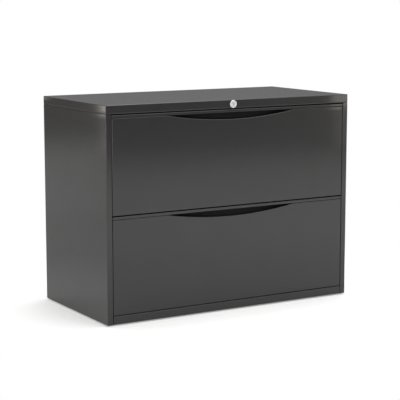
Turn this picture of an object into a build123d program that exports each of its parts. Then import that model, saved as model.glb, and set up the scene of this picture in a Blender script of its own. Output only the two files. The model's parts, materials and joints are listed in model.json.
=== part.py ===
from build123d import *
import os
from math import atan2, cos, degrees, hypot, radians, sin

# Two-drawer steel lateral filing cabinet. X runs across the width, Y from the front to the
# back and Z up. The origin is on the floor, under the middle of the case.

# Case
case_width = 914.4
case_depth = 457.2
case_height = 685.8
glide_lift = 4.0
cap_height = 28.0
stile_width = 19.2
stile_depth = 22.0
base_rail_height = 26.6
reveal = 3.2
side_reveal = 1.8
base_reveal = 1.8
case_sheet = 1.2
fold_radius = 2.0
cap_lip = 14.0
wall_gap = 0.1
fold_gap = 0.9

# Drawers
drawer_front_height = 311.5
front_thickness = 20.0
pull_rail_height = 8.6
pull_groove = 0.8
pull_half_width = 245.0
pull_depth = 22.3
cup_wall = 2.0
cup_rim = 12.0
front_corner_radius = 1.0
liner_margin = 4.0
drawer_sheet = 1.0
tray_half_width = 425.4
tray_rear = 215.0
tray_floor_height = 12.0
tray_height = 250.0
tray_flange = 12.0
back_height = 235.0
back_gap = 1.2
hang_rail_spacing = 387.0

# Slides
slide_length = 400.0
slide_rear = 202.0
slide_height = 130.0
slide_sheet = 1.2
slide_fold_radius = 1.5
member_gap = 1.1
tip_gap = 0.4
inner_flange = 7.1
ball_radius = 1.6
ball_line = 430.5
ball_play = 0.15
ball_pitch = 40.0
balls_per_strip = 5
cage_length = 190.0
cage_thickness = 1.0
outer_race = 19.95
inner_race = 15.35
rivet_radius = 2.0
rivet_head_radius = 4.0
rivet_head_height = 0.8

# Lock
lock_barrel_radius = 9.5
lock_bezel_radius = 12.4
lock_plug_radius = 7.5
lock_proud = 3.4
cam_throw = 20.0
cam_pin_radius = 1.5
bar_pin_radius = 2.0
lock_strip = 2.0
bar_travel = 10.0
strip_gap = 0.5
strip_play = 0.8
tab_height = 8.0
strike_height = 165.0

# Feet
glide_x = 424.0
glide_front = -170.0
glide_back = 165.0
glide_radius = 14.0
stem_radius = 4.0
running_clearance = 0.05

# Levels and faces that follow from the sizes above
half_width = case_width / 2
half_depth = case_depth / 2
case_bottom = glide_lift
case_top = glide_lift + case_height
cap_bottom = case_top - cap_height
base_top = case_bottom + base_rail_height
pan_top = base_top + case_sheet
lower_bottom = base_top + base_reveal
upper_bottom = lower_bottom + drawer_front_height + reveal
opening_half = half_width - stile_width
front_half = opening_half - side_reveal
inside_half = half_width - case_sheet
panel_height = drawer_front_height - pull_rail_height - pull_groove
liner_front = -half_depth + front_thickness
tray_front = liner_front + drawer_sheet
lock_height = cap_bottom + cap_height / 2
drawer_bottoms = {"upper_drawer": upper_bottom, "lower_drawer": lower_bottom}

# Slide faces, from the upright inwards
outer_web = opening_half + wall_gap
middle_web = outer_web - slide_sheet - member_gap
outer_tip = tray_half_width + slide_sheet
middle_tip = outer_tip + tip_gap
inner_tip = tray_half_width + inner_flange
outer_half = outer_race + ball_radius + slide_sheet + running_clearance * 2
middle_half = outer_race - ball_radius - running_clearance * 2
inner_half = inner_race - ball_radius - running_clearance * 2

# Upright, header and lock-strip faces, from the front backwards
upright_front = -203.0
upright_depth = 25.0
rear_upright_front = 170.0
header_height = 21.8
header_bottom = cap_bottom - header_height
cam_front = -200.6
link_front = cam_front + lock_strip + strip_gap
bar_front = link_front + lock_strip + strip_gap
front_rivet_y = upright_front + upright_depth / 2
rear_rivet_y = rear_upright_front + upright_depth / 2

os.makedirs("parts", exist_ok=True)


def folded_profile(points, thickness, radius=fold_radius, side=Side.LEFT):
    """Section of a folded sheet: its outer line, thickened towards one side."""
    with BuildSketch() as profile:
        with BuildLine():
            FilletPolyline(*points, radius=radius)
            offset(amount=thickness, side=side)
        make_face()
    return profile.sketch


def finger_lens(edge, half, depth):
    """Flat-topped lens under a straight edge, closed below by one circular arc."""
    with BuildSketch() as lens:
        with BuildLine():
            Line((half, edge), (-half, edge))
            ThreePointArc((-half, edge), (0, edge - depth), (half, edge))
        make_face()
    return lens.sketch


# ---------------------------------------------------------------- case shell

side_outline = [
    (-opening_half - 1.0, half_depth),
    (-half_width, half_depth),
    (-half_width, -half_depth),
    (-opening_half, -half_depth),
    (-opening_half, -half_depth + stile_depth),
    (-opening_half - 10.0, -half_depth + stile_depth),
]
side_flange = 16.0
back_inner = half_depth - 2 * case_sheet
cover_screw_ys = (-120.0, 0.0, 120.0)
cover_screw_x = half_width - 9.2
cover_screw_radius = 2.5

with BuildPart() as left_side_panel:
    with BuildSketch(Plane.XY.offset(case_bottom)):
        add(folded_profile(side_outline, case_sheet))
    extrude(amount=cap_bottom - case_bottom)
    for level in (case_bottom, cap_bottom - case_sheet):
        with BuildSketch(Plane.XY.offset(level)):
            with Locations((-half_width + case_sheet / 2, back_inner)):
                Rectangle(side_flange, 2 * back_inner + 1.0, align=(Align.MIN, Align.MAX))
        extrude(amount=case_sheet)
    with BuildSketch(Plane.XY.offset(cap_bottom - case_sheet)):
        with Locations([(-cover_screw_x, y) for y in cover_screw_ys]):
            Circle(cover_screw_radius + running_clearance)
    extrude(amount=case_sheet, mode=Mode.SUBTRACT)
left_side_panel.part.label = "left_side_panel"
export_step(left_side_panel.part, "parts/left_side_panel.step")

with BuildPart() as right_side_panel:
    mirror(left_side_panel.part, about=Plane.YZ)
right_side_panel.part.label = "right_side_panel"
export_step(right_side_panel.part, "parts/right_side_panel.step")

# The back panel lies against the rear flanges of the sides, with two holes for wall anchors.
anchor_height = 630.0
anchor_spacing = 406.4
anchor_radius = 3.25
back_flange = 15.0
back_outer = half_depth - case_sheet
back_outline = [
    (back_outer - back_flange, case_bottom + case_sheet + wall_gap),
    (back_outer, case_bottom + case_sheet + wall_gap),
    (back_outer, cap_bottom - case_sheet - wall_gap),
    (back_outer - back_flange, cap_bottom - case_sheet - wall_gap),
]
with BuildPart() as back_panel:
    with BuildSketch(Plane.YZ.offset(-inside_half + fold_gap)):
        add(folded_profile(back_outline, case_sheet))
    extrude(amount=2 * (inside_half - fold_gap))
    with BuildSketch(Plane.XZ.offset(-half_depth)):
        with Locations((-anchor_spacing / 2, anchor_height), (anchor_spacing / 2, anchor_height)):
            Circle(anchor_radius)
    extrude(amount=2 * fold_radius, mode=Mode.SUBTRACT)
back_panel.part.label = "back_panel"
export_step(back_panel.part, "parts/back_panel.step")

# The cover is a slab folded down on four sides, with a lip turned in underneath.
top_edge_radius = 1.5
with BuildPart() as top_cover:
    with BuildSketch(Plane.XY.offset(cap_bottom)):
        Rectangle(case_width, case_depth)
    extrude(amount=cap_height)
    fillet(top_cover.edges().filter_by(Axis.Z), radius=fold_radius)
    fillet(top_cover.faces().sort_by(Axis.Z)[0].edges(), radius=fold_radius)
    fillet(top_cover.faces().sort_by(Axis.Z)[-1].edges(), radius=top_edge_radius)
    with BuildSketch(Plane.XY.offset(cap_bottom + case_sheet)):
        Rectangle(2 * inside_half, case_depth - 2 * case_sheet)
    extrude(amount=cap_height - 2 * case_sheet, mode=Mode.SUBTRACT)
    with BuildSketch(Plane.XY.offset(cap_bottom)):
        Rectangle(case_width - 2 * cap_lip, case_depth - 2 * cap_lip)
        with Locations([(s * cover_screw_x, y) for s in (-1, 1) for y in cover_screw_ys]):
            Circle(cover_screw_radius + running_clearance)
    extrude(amount=case_sheet, mode=Mode.SUBTRACT)
    with BuildSketch(Plane.XZ.offset(half_depth)):
        with Locations((0, lock_height)):
            Circle(lock_barrel_radius + wall_gap)
    extrude(amount=-2 * case_sheet, mode=Mode.SUBTRACT)
top_cover.part.label = "top_cover"
export_step(top_cover.part, "parts/top_cover.step")

# ---------------------------------------------------------------- base

front_rail_back = -196.0
front_rail_outline = [
    (front_rail_back, base_top),
    (-half_depth, base_top),
    (-half_depth, case_bottom),
    (front_rail_back, case_bottom),
]
with BuildPart() as base_front_rail:
    with BuildSketch(Plane.YZ.offset(-opening_half + pull_groove)):
        add(folded_profile(front_rail_outline, case_sheet))
    extrude(amount=2 * (opening_half - pull_groove))
base_front_rail.part.label = "base_front_rail"
export_step(base_front_rail.part, "parts/base_front_rail.step")

rear_rail_front = 188.0
rear_rail_back = back_outer - back_flange - 0.6
rear_rail_bottom = case_bottom + 2.6
rear_rail_outline = [
    (rear_rail_front, rear_rail_bottom),
    (rear_rail_back, rear_rail_bottom),
    (rear_rail_back, base_top),
    (rear_rail_front, base_top),
]
with BuildPart() as base_rear_rail:
    with BuildSketch(Plane.YZ.offset(-inside_half + wall_gap)):
        add(folded_profile(rear_rail_outline, case_sheet))
    extrude(amount=2 * (inside_half - wall_gap))
base_rear_rail.part.label = "base_rear_rail"
export_step(base_rear_rail.part, "parts/base_rear_rail.step")

pan_front = -half_depth + stile_depth + wall_gap
with BuildPart() as base_pan:
    with BuildSketch(Plane.XY.offset(base_top)):
        with Locations((0, pan_front)):
            Rectangle(2 * (inside_half - wall_gap), back_inner - wall_gap - pan_front,
                      align=(Align.CENTER, Align.MIN))
    extrude(amount=case_sheet)
base_pan.part.label = "base_pan"
export_step(base_pan.part, "parts/base_pan.step")

counterweight_width = 720.0
counterweight_depth = 70.0
counterweight_height = 20.0
counterweight_y = 135.0
with BuildPart() as counterweight:
    with BuildSketch(Plane.XY.offset(base_top - counterweight_height)):
        with Locations((0, counterweight_y)):
            RectangleRounded(counterweight_width, counterweight_depth, 3.0)
    extrude(amount=counterweight_height)
counterweight.part.label = "counterweight"
export_step(counterweight.part, "parts/counterweight.step")

# Each corner has a bracket with a nut, and a levelling glide screwed up into the nut.
bracket_plate_bottom = 10.0
bracket_plate = 3.0
bracket_size = 40.0
nut_radius = 7.5
nut_height = 6.5
glide_hex_radius = 8.0
glide_collar_top = bracket_plate_bottom - 0.4
stem_top = base_top - 1.0
glide_places = {
    "front_left_glide": (-glide_x, glide_front),
    "front_right_glide": (glide_x, glide_front),
    "rear_left_glide": (-glide_x, glide_back),
    "rear_right_glide": (glide_x, glide_back),
}

with BuildPart() as base_corner_brackets:
    for y in (glide_front, glide_back):
        with BuildSketch(Plane.XY.offset(bracket_plate_bottom)):
            with Locations((inside_half - wall_gap, y)):
                Rectangle(inside_half - glide_x + bracket_size / 2, bracket_size,
                          align=(Align.MAX, Align.CENTER))
            with Locations((glide_x, y)):
                Circle(stem_radius + running_clearance, mode=Mode.SUBTRACT)
        extrude(amount=bracket_plate)
        with BuildSketch(Plane.XY.offset(bracket_plate_bottom)):
            with Locations((inside_half - wall_gap, y)):
                Rectangle(bracket_plate, bracket_size, align=(Align.MAX, Align.CENTER))
        extrude(amount=base_top - bracket_plate_bottom)
    mirror(about=Plane.YZ)
base_corner_brackets.part.label = "base_corner_brackets"
export_step(base_corner_brackets.part, "parts/base_corner_brackets.step")

with BuildPart() as glide_nuts:
    with BuildSketch(Plane.XY.offset(bracket_plate_bottom + bracket_plate)):
        with Locations(*glide_places.values()):
            RegularPolygon(radius=nut_radius, side_count=6)
            Circle(stem_radius + running_clearance, mode=Mode.SUBTRACT)
    extrude(amount=nut_height)
glide_nuts.part.label = "glide_nuts"
export_step(glide_nuts.part, "parts/glide_nuts.step")

for name, (x, y) in glide_places.items():
    with BuildPart() as glide:
        with BuildSketch(Plane.XY):
            with Locations((x, y)):
                Circle(glide_radius)
        extrude(amount=glide_lift)
        chamfer(glide.edges().group_by(Axis.Z)[0], length=0.8)
        with BuildSketch(Plane.XY.offset(glide_lift)):
            with Locations((x, y)):
                RegularPolygon(radius=glide_hex_radius, side_count=6)
        extrude(amount=glide_collar_top - glide_lift)
        with BuildSketch(Plane.XY.offset(glide_collar_top)):
            with Locations((x, y)):
                Circle(stem_radius)
        extrude(amount=stem_top - glide_collar_top)
        chamfer(glide.edges().group_by(Axis.Z)[-1], length=0.6)
    glide.part.label = name
    export_step(glide.part, f"parts/{name}.step")

# ---------------------------------------------------------------- header and uprights

tab_gap = 1.0
tab_bottoms = [z + strike_height + tab_height + tab_gap for z in drawer_bottoms.values()]
strip_middle = bar_front + lock_strip / 2
arm_height = 7.0
arm_gap = 0.3
arm_bottom = header_bottom + case_sheet + arm_gap + bar_travel
arm_slot_height = 19.0
cam_slot_width = 48.0
cam_slot_depth = 9.0

header_outline = [
    (upright_front + upright_depth - 1.0, cap_bottom),
    (upright_front, cap_bottom),
    (upright_front, header_bottom),
    (upright_front + upright_depth - 1.0, header_bottom),
]
with BuildPart() as header_rail:
    with BuildSketch(Plane.YZ.offset(-outer_web)):
        add(folded_profile(header_outline, case_sheet))
    extrude(amount=2 * outer_web)
    with BuildSketch(Plane.XY.offset(cap_bottom)):
        with Locations((0, upright_front + case_sheet + wall_gap)):
            Rectangle(cam_slot_width, cam_slot_depth, align=(Align.CENTER, Align.MIN))
    extrude(amount=-case_sheet, mode=Mode.SUBTRACT)
header_rail.part.label = "header_rail"
export_step(header_rail.part, "parts/header_rail.step")


def upright_pair(front, rivet_y):
    """Two channels that carry the slides, one inside each side panel."""
    outline = [
        (inside_half - wall_gap, front + upright_depth),
        (outer_web, front + upright_depth),
        (outer_web, front),
        (inside_half - wall_gap, front),
    ]
    with BuildPart() as pair:
        with BuildSketch(Plane.XY.offset(pan_top)):
            add(folded_profile(outline, case_sheet))
        extrude(amount=cap_bottom - case_sheet - pan_top)
        with BuildSketch(Plane.YZ.offset(outer_web)):
            with Locations([(rivet_y, z + slide_height) for z in drawer_bottoms.values()]):
                Circle(rivet_radius + running_clearance)
        extrude(amount=case_sheet, mode=Mode.SUBTRACT)
        mirror(about=Plane.YZ)
    return pair


# The right front upright has slots for the lock bar's arm and tabs.
with BuildPart() as front_uprights:
    add(upright_pair(upright_front, front_rivet_y).part)
    with BuildSketch(Plane.YZ.offset(outer_web)):
        with Locations((strip_middle, header_bottom + tab_gap)):
            Rectangle(lock_strip + 2 * strip_play, arm_slot_height, align=(Align.CENTER, Align.MIN))
        with Locations([(strip_middle, z - bar_travel - tab_gap) for z in tab_bottoms]):
            Rectangle(lock_strip + 2 * strip_play, tab_height + bar_travel + 2 * tab_gap,
                      align=(Align.CENTER, Align.MIN))
    extrude(amount=case_sheet, mode=Mode.SUBTRACT)
front_uprights.part.label = "front_uprights"
export_step(front_uprights.part, "parts/front_uprights.step")

with BuildPart() as rear_uprights:
    add(upright_pair(rear_upright_front, rear_rivet_y).part)
rear_uprights.part.label = "rear_uprights"
export_step(rear_uprights.part, "parts/rear_uprights.step")

# ---------------------------------------------------------------- case fasteners and bumpers


def rivet_bar(centres, start, grip):
    """Rivets along X, with a low head at the start of the grip and a set tail past its end."""
    with BuildPart() as rivets:
        for offset_x, length, radius in (
            (start - rivet_head_height, rivet_head_height, rivet_head_radius),
            (start, grip, rivet_radius),
            (start + grip, rivet_head_height, rivet_head_radius - rivet_head_height),
        ):
            with BuildSketch(Plane.YZ.offset(offset_x)):
                with Locations(centres):
                    Circle(radius)
            extrude(amount=length)
        mirror(about=Plane.YZ)
    return rivets


slide_rivet_centres = [
    (y, z + slide_height)
    for y in (front_rivet_y, rear_rivet_y)
    for z in drawer_bottoms.values()
]
with BuildPart() as slide_rivets:
    add(rivet_bar(slide_rivet_centres, outer_web - slide_sheet, slide_sheet + case_sheet).part)
slide_rivets.part.label = "slide_rivets"
export_step(slide_rivets.part, "parts/slide_rivets.step")

screw_head_radius = 4.5
screw_head_height = 3.0
screw_point = 4.0
with BuildPart() as cover_screws:
    screw_places = [(s * cover_screw_x, y) for s in (-1, 1) for y in cover_screw_ys]
    with BuildSketch(Plane.XY.offset(cap_bottom - case_sheet - screw_head_height)):
        with Locations(screw_places):
            Circle(screw_head_radius)
    extrude(amount=screw_head_height)
    with BuildSketch(Plane.XY.offset(cap_bottom - case_sheet)):
        with Locations(screw_places):
            Circle(cover_screw_radius)
    extrude(amount=2 * case_sheet + screw_point)
cover_screws.part.label = "cover_screws"
export_step(cover_screws.part, "parts/cover_screws.step")

bumper_x = 350.0
bumper_height = 100.0
bumper_radius = 6.0
bumper_clearance = 0.4
with BuildPart() as drawer_bumpers:
    with BuildSketch(Plane.XZ.offset(-back_inner)):
        with Locations([(s * bumper_x, z + bumper_height) for s in (-1, 1)
                        for z in drawer_bottoms.values()]):
            Circle(bumper_radius)
    extrude(amount=back_inner - tray_rear - bumper_clearance)
drawer_bumpers.part.label = "drawer_bumpers"
export_step(drawer_bumpers.part, "parts/drawer_bumpers.step")

# ---------------------------------------------------------------- lock

lock_face = -half_depth - lock_proud
housing_length = 22.5
bezel_edge_radius = 1.2
with BuildPart() as lock_housing:
    with BuildSketch(Plane.XZ.offset(half_depth)):
        with Locations((0, lock_height)):
            Circle(lock_bezel_radius)
    extrude(amount=lock_proud)
    fillet(lock_housing.edges().group_by(Axis.Y)[0], radius=bezel_edge_radius)
    with BuildSketch(Plane.XZ.offset(half_depth)):
        with Locations((0, lock_height)):
            Circle(lock_barrel_radius)
    extrude(amount=-housing_length)
    with BuildSketch(Plane.XZ.offset(half_depth + lock_proud)):
        with Locations((0, lock_height)):
            Circle(lock_plug_radius + running_clearance)
    extrude(amount=-lock_proud - housing_length, mode=Mode.SUBTRACT)
lock_housing.part.label = "lock_housing"
export_step(lock_housing.part, "parts/lock_housing.step")

clip_opening = 11.0
with BuildPart() as lock_clip:
    with BuildSketch(Plane.XZ.offset(half_depth - case_sheet)):
        with Locations((0, lock_height)):
            Circle(lock_bezel_radius)
            Circle(lock_barrel_radius + wall_gap, mode=Mode.SUBTRACT)
        with Locations((0, lock_height - lock_bezel_radius)):
            Rectangle(clip_opening, lock_bezel_radius, mode=Mode.SUBTRACT)
    extrude(amount=-case_sheet)
lock_clip.part.label = "lock_clip"
export_step(lock_clip.part, "parts/lock_clip.step")

plug_recess = 0.5
plug_back = -half_depth + housing_length - plug_recess
tail_radius = 4.0
keyway_width = 2.0
keyway_height = 9.0
keyway_depth = 7.0
with BuildPart() as lock_plug:
    with BuildSketch(Plane.XZ.offset(-lock_face - plug_recess)):
        with Locations((0, lock_height)):
            Circle(lock_plug_radius)
    extrude(amount=-(plug_back - lock_face - plug_recess))
    with BuildSketch(Plane.XZ.offset(-plug_back)):
        with Locations((0, lock_height)):
            Circle(tail_radius)
    extrude(amount=-(cam_front + lock_strip - plug_back))
    with BuildSketch(Plane.XZ.offset(-lock_face - plug_recess)):
        with Locations((0, lock_height)):
            Rectangle(keyway_width, keyway_height)
    extrude(amount=-keyway_depth, mode=Mode.SUBTRACT)
lock_plug.part.label = "lock_plug"
export_step(lock_plug.part, "parts/lock_plug.step")

# Unlocked, the cam points 45 degrees down to the right. It swings 90 degrees to lock.
pin_x = cam_throw * sin(radians(45))
pin_z = lock_height - cam_throw * cos(radians(45))
cam_half_width = 4.0
cam_boss_radius = 7.0
cam_pin_length = 3.4
with BuildPart() as lock_cam:
    with BuildSketch(Plane.XZ.offset(-cam_front)):
        with Locations((0, lock_height)):
            Circle(cam_boss_radius)
        with Locations((pin_x / 2, (lock_height + pin_z) / 2)):
            SlotCenterToCenter(cam_throw, 2 * cam_half_width, rotation=-45)
        with Locations((0, lock_height)):
            Circle(tail_radius, mode=Mode.SUBTRACT)
    extrude(amount=-lock_strip)
    with BuildSketch(Plane.XZ.offset(-cam_front - lock_strip)):
        with Locations((pin_x, pin_z)):
            Circle(cam_pin_radius)
    extrude(amount=-cam_pin_length)
lock_cam.part.label = "lock_cam"
export_step(lock_cam.part, "parts/lock_cam.step")

# The link slides left inside the header. Its sloping slot pulls the lock bar down.
link_travel = 2 * pin_x
bar_pin_x = 380.0
bar_pin_margin = 8.0
bar_pin_z = arm_bottom + arm_height / 2
slot_slope = -degrees(atan2(bar_travel, link_travel))
link_bottom = header_bottom + 6.0
link_height = 10.0
link_plate_bottom = header_bottom + case_sheet + tip_gap
link_plate_height = cap_bottom - header_bottom - 2 * (case_sheet + tip_gap)
link_plate_length = 44.0
link_head_width = 13.0
link_head_margin = 4.8
pin_slot_width = 4.8
pin_slot_height = 10.8
pin_slot_drop = 8.2
with BuildPart() as lock_link:
    with BuildSketch(Plane.XZ.offset(-link_front)):
        with Locations((pin_x - link_head_width / 2, link_bottom)):
            Rectangle(bar_pin_x - pin_x, link_height, align=(Align.MIN, Align.MIN))
            Rectangle(link_head_width, pin_z + link_head_margin - link_bottom,
                      align=(Align.MIN, Align.MIN))
        with Locations((bar_pin_x - bar_pin_margin, link_plate_bottom)):
            Rectangle(link_plate_length, link_plate_height, align=(Align.MIN, Align.MIN))
        with Locations((pin_x, pin_z - pin_slot_drop)):
            Rectangle(pin_slot_width, pin_slot_height, align=(Align.CENTER, Align.MIN),
                      mode=Mode.SUBTRACT)
        with Locations((bar_pin_x + link_travel / 2, bar_pin_z - bar_travel / 2)):
            SlotCenterToCenter(hypot(link_travel, bar_travel), 2 * bar_pin_radius + arm_gap,
                               rotation=slot_slope, mode=Mode.SUBTRACT)
    extrude(amount=-lock_strip)
lock_link.part.label = "lock_link"
export_step(lock_link.part, "parts/lock_link.step")

bar_left = 441.0
bar_width = 10.0
bar_bottom = tab_bottoms[-1] - tab_height
bar_pin_length = 3.0
arm_tip_margin = 6.0
tab_tip = 430.0
with BuildPart() as lock_bar:
    with BuildSketch(Plane.XZ.offset(-bar_front)):
        with Locations((bar_left, bar_bottom)):
            Rectangle(bar_width, arm_bottom + arm_height - bar_bottom, align=(Align.MIN, Align.MIN))
        with Locations((bar_left + bar_width, arm_bottom)):
            Rectangle(bar_left + bar_width - bar_pin_x + arm_tip_margin, arm_height,
                      align=(Align.MAX, Align.MIN))
        with Locations([(bar_left + bar_width, z) for z in tab_bottoms]):
            Rectangle(bar_left + bar_width - tab_tip, tab_height, align=(Align.MAX, Align.MIN))
    extrude(amount=-lock_strip)
    with BuildSketch(Plane.XZ.offset(-bar_front)):
        with Locations((bar_pin_x, bar_pin_z)):
            Circle(bar_pin_radius)
    extrude(amount=bar_pin_length)
lock_bar.part.label = "lock_bar"
export_step(lock_bar.part, "parts/lock_bar.step")

# Nylon guides hold the bar in the upright and the link in the header.
guide_back = -186.0
guide_front = upright_front + case_sheet + fold_gap
guide_width = 16.4
guide_length = 10.0
bar_guide_levels = (260.0, 400.0, 600.0)
link_guide_xs = (120.0, 260.0)
with BuildPart() as lock_guides:
    for level in bar_guide_levels:
        with BuildSketch(Plane.XY.offset(level)):
            with Locations((outer_web + case_sheet + wall_gap, guide_front)):
                Rectangle(guide_width, guide_back - guide_front, align=(Align.MIN, Align.MIN))
            with Locations((bar_left + bar_width / 2, strip_middle)):
                Rectangle(bar_width + 2 * strip_gap, lock_strip + 2 * strip_gap, mode=Mode.SUBTRACT)
        extrude(amount=guide_length)
    for x in link_guide_xs:
        with BuildSketch(Plane.YZ.offset(x)):
            with Locations((guide_front, header_bottom + case_sheet + wall_gap)):
                Rectangle(guide_back - guide_front,
                          cap_bottom - header_bottom - 2 * (case_sheet + wall_gap),
                          align=(Align.MIN, Align.MIN))
            with Locations((link_front + lock_strip / 2, link_bottom + link_height / 2)):
                Rectangle(lock_strip + strip_play, link_height + strip_play, mode=Mode.SUBTRACT)
        extrude(amount=guide_length)
lock_guides.part.label = "lock_guides"
export_step(lock_guides.part, "parts/lock_guides.step")

# ---------------------------------------------------------------- slides


def member_pair(web, tip, half_height, level, hole_ys=()):
    """The same slide channel on the right and on the left, with rivet holes in its web."""
    outline = [
        (tip, level - half_height),
        (web, level - half_height),
        (web, level + half_height),
        (tip, level + half_height),
    ]
    opens_inwards = tip < web
    with BuildPart() as members:
        with BuildSketch(Plane.XZ.offset(-slide_rear)):
            add(folded_profile(outline, slide_sheet, slide_fold_radius,
                               Side.LEFT if opens_inwards else Side.RIGHT))
        extrude(amount=slide_length)
        if hole_ys:
            with BuildSketch(Plane.YZ.offset(web)):
                with Locations([(y, level) for y in hole_ys]):
                    Circle(rivet_radius + running_clearance)
            extrude(amount=slide_sheet, both=True, mode=Mode.SUBTRACT)
        mirror(about=Plane.YZ)
    return members


def cage_strips(race, level):
    """Ball cages above and below the slide's middle, on both sides."""
    with BuildPart() as cages:
        for strip_level in (level - race, level + race):
            with BuildSketch(Plane.XY.offset(strip_level - cage_thickness / 2)):
                with Locations((ball_line, 0)):
                    Rectangle(3.0 * ball_radius, cage_length)
                    with GridLocations(1.0, ball_pitch, 1, balls_per_strip):
                        Circle(ball_radius + ball_play, mode=Mode.SUBTRACT)
            extrude(amount=cage_thickness)
        mirror(about=Plane.YZ)
    return cages


def cage_balls(race, level):
    """The balls that run in those cages."""
    first = -ball_pitch * (balls_per_strip - 1) / 2
    with BuildPart() as balls:
        with Locations([(ball_line, first + i * ball_pitch, level + s * race)
                        for s in (-1, 1) for i in range(balls_per_strip)]):
            Sphere(ball_radius)
        mirror(about=Plane.YZ)
    return balls


inner_rivet_ys = (-150.0, 0.0, 150.0)
for drawer, bottom in drawer_bottoms.items():
    level = bottom + slide_height
    slide_pieces = {
        "slide_outer_members": member_pair(outer_web, outer_tip, outer_half, level,
                                           (front_rivet_y, rear_rivet_y)),
        "slide_middle_members": member_pair(middle_web, middle_tip, middle_half, level),
        "slide_inner_members": member_pair(tray_half_width, inner_tip, inner_half, level,
                                           inner_rivet_ys),
        "slide_outer_cages": cage_strips(outer_race, level),
        "slide_inner_cages": cage_strips(inner_race, level),
        "slide_outer_balls": cage_balls(outer_race, level),
        "slide_inner_balls": cage_balls(inner_race, level),
    }
    for kind, piece in slide_pieces.items():
        piece.part.label = f"{drawer}_{kind}"
        export_step(piece.part, f"parts/{drawer}_{kind}.step")

# ---------------------------------------------------------------- drawers


def drawer_front_panel(bottom):
    """Folded steel pan with the finger opening cut into its top edge."""
    edge = bottom + panel_height + pull_groove
    with BuildPart() as panel:
        with BuildSketch(Plane.XZ.offset(half_depth)):
            with Locations((0, bottom)):
                Rectangle(2 * front_half, panel_height, align=(Align.CENTER, Align.MIN))
        extrude(amount=-front_thickness)
        fillet(panel.edges().filter_by(Axis.Y), radius=front_corner_radius)
        fillet(panel.faces().sort_by(Axis.Y)[0].edges(), radius=fold_radius)
        with BuildSketch(Plane.XZ.offset(half_depth - case_sheet)):
            with Locations((0, bottom + case_sheet)):
                Rectangle(2 * (front_half - case_sheet), panel_height - 2 * case_sheet,
                          align=(Align.CENTER, Align.MIN))
        extrude(amount=-front_thickness, mode=Mode.SUBTRACT)
        with BuildSketch(Plane.XZ.offset(half_depth)):
            add(finger_lens(edge, pull_half_width, pull_depth))
        extrude(amount=-2 * case_sheet, mode=Mode.SUBTRACT)
        with BuildSketch(Plane.XZ.offset(half_depth - case_sheet)):
            add(finger_lens(edge, pull_half_width + cup_rim, pull_depth + cup_wall))
        extrude(amount=-front_thickness, mode=Mode.SUBTRACT)
    return panel


def drawer_pull_rail(bottom):
    """Channel along the top of the front, open below so that fingers hook behind it."""
    edge = bottom + panel_height + pull_groove
    top = bottom + drawer_front_height
    outline = [(-half_depth, edge), (-half_depth, top), (liner_front, top), (liner_front, edge)]
    with BuildPart() as rail:
        with BuildSketch(Plane.YZ.offset(-front_half)):
            add(folded_profile(outline, case_sheet, fold_radius, Side.RIGHT))
        extrude(amount=2 * front_half)
        for end in (-front_half, front_half - case_sheet):
            with BuildSketch(Plane.YZ.offset(end)):
                with Locations((-half_depth + case_sheet / 2, edge)):
                    Rectangle(front_thickness - case_sheet, pull_rail_height - case_sheet / 2,
                              align=(Align.MIN, Align.MIN))
            extrude(amount=case_sheet)
    return rail


def drawer_pull_cup(bottom):
    """Moulded cup behind the finger opening."""
    edge = bottom + panel_height + pull_groove
    cup_front = half_depth - case_sheet
    cup_length = front_thickness - case_sheet - wall_gap
    with BuildPart() as cup:
        with BuildSketch(Plane.XZ.offset(cup_front)):
            add(finger_lens(edge, pull_half_width + cup_rim, pull_depth + cup_wall))
        extrude(amount=-cup_length)
        with BuildSketch(Plane.XZ.offset(cup_front)):
            add(finger_lens(edge, pull_half_width, pull_depth))
        extrude(amount=-(cup_length - cup_wall), mode=Mode.SUBTRACT)
    return cup


def drawer_front_liner(bottom):
    """Flat sheet that closes the back of the front and joins it to the tray."""
    with BuildPart() as liner:
        with BuildSketch(Plane.XZ.offset(-liner_front)):
            with Locations((0, bottom + liner_margin)):
                Rectangle(2 * (front_half - liner_margin), drawer_front_height - 2 * liner_margin,
                          align=(Align.CENTER, Align.MIN))
        extrude(amount=-drawer_sheet)
    return liner


def drawer_tray(bottom):
    """Floor and two sides folded from one sheet, with stiffening flanges along the top."""
    low = bottom + tray_floor_height
    high = low + tray_height
    flange = tray_half_width - tray_flange
    outline = [
        (-flange, high),
        (-tray_half_width, high),
        (-tray_half_width, low),
        (tray_half_width, low),
        (tray_half_width, high),
        (flange, high),
    ]
    with BuildPart() as tray:
        with BuildSketch(Plane.XZ.offset(-tray_rear)):
            add(folded_profile(outline, drawer_sheet))
        extrude(amount=tray_rear - tray_front)
        for side in (-1, 1):
            with BuildSketch(Plane.YZ.offset(side * (tray_half_width - drawer_sheet / 2))):
                with Locations([(y, bottom + slide_height) for y in inner_rivet_ys]):
                    Circle(rivet_radius + running_clearance)
            extrude(amount=drawer_sheet, both=True, mode=Mode.SUBTRACT)
    return tray


def drawer_back(bottom):
    """Back wall of the tray, flanged at the top and bottom."""
    low = bottom + tray_floor_height + drawer_sheet
    high = bottom + back_height
    flange = tray_rear - tray_flange
    outline = [(flange, low), (tray_rear, low), (tray_rear, high), (flange, high)]
    half = tray_half_width - drawer_sheet - back_gap
    with BuildPart() as back:
        with BuildSketch(Plane.YZ.offset(-half)):
            add(folded_profile(outline, drawer_sheet))
        extrude(amount=2 * half)
    return back


def drawer_hang_rails(bottom):
    """Two bars that hanging folders hook onto, one at the front and one at the back."""
    middle = -2.5
    rail_thickness = 2.5
    rail_height = 16.0
    rail_bottom = bottom + tray_floor_height + tray_height - 18.0
    with BuildPart() as rails:
        with BuildSketch(Plane.XY.offset(rail_bottom)):
            with Locations((0, middle - hang_rail_spacing / 2), (0, middle + hang_rail_spacing / 2)):
                Rectangle(2 * (tray_half_width - drawer_sheet), rail_thickness)
        extrude(amount=rail_height)
    return rails


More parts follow.
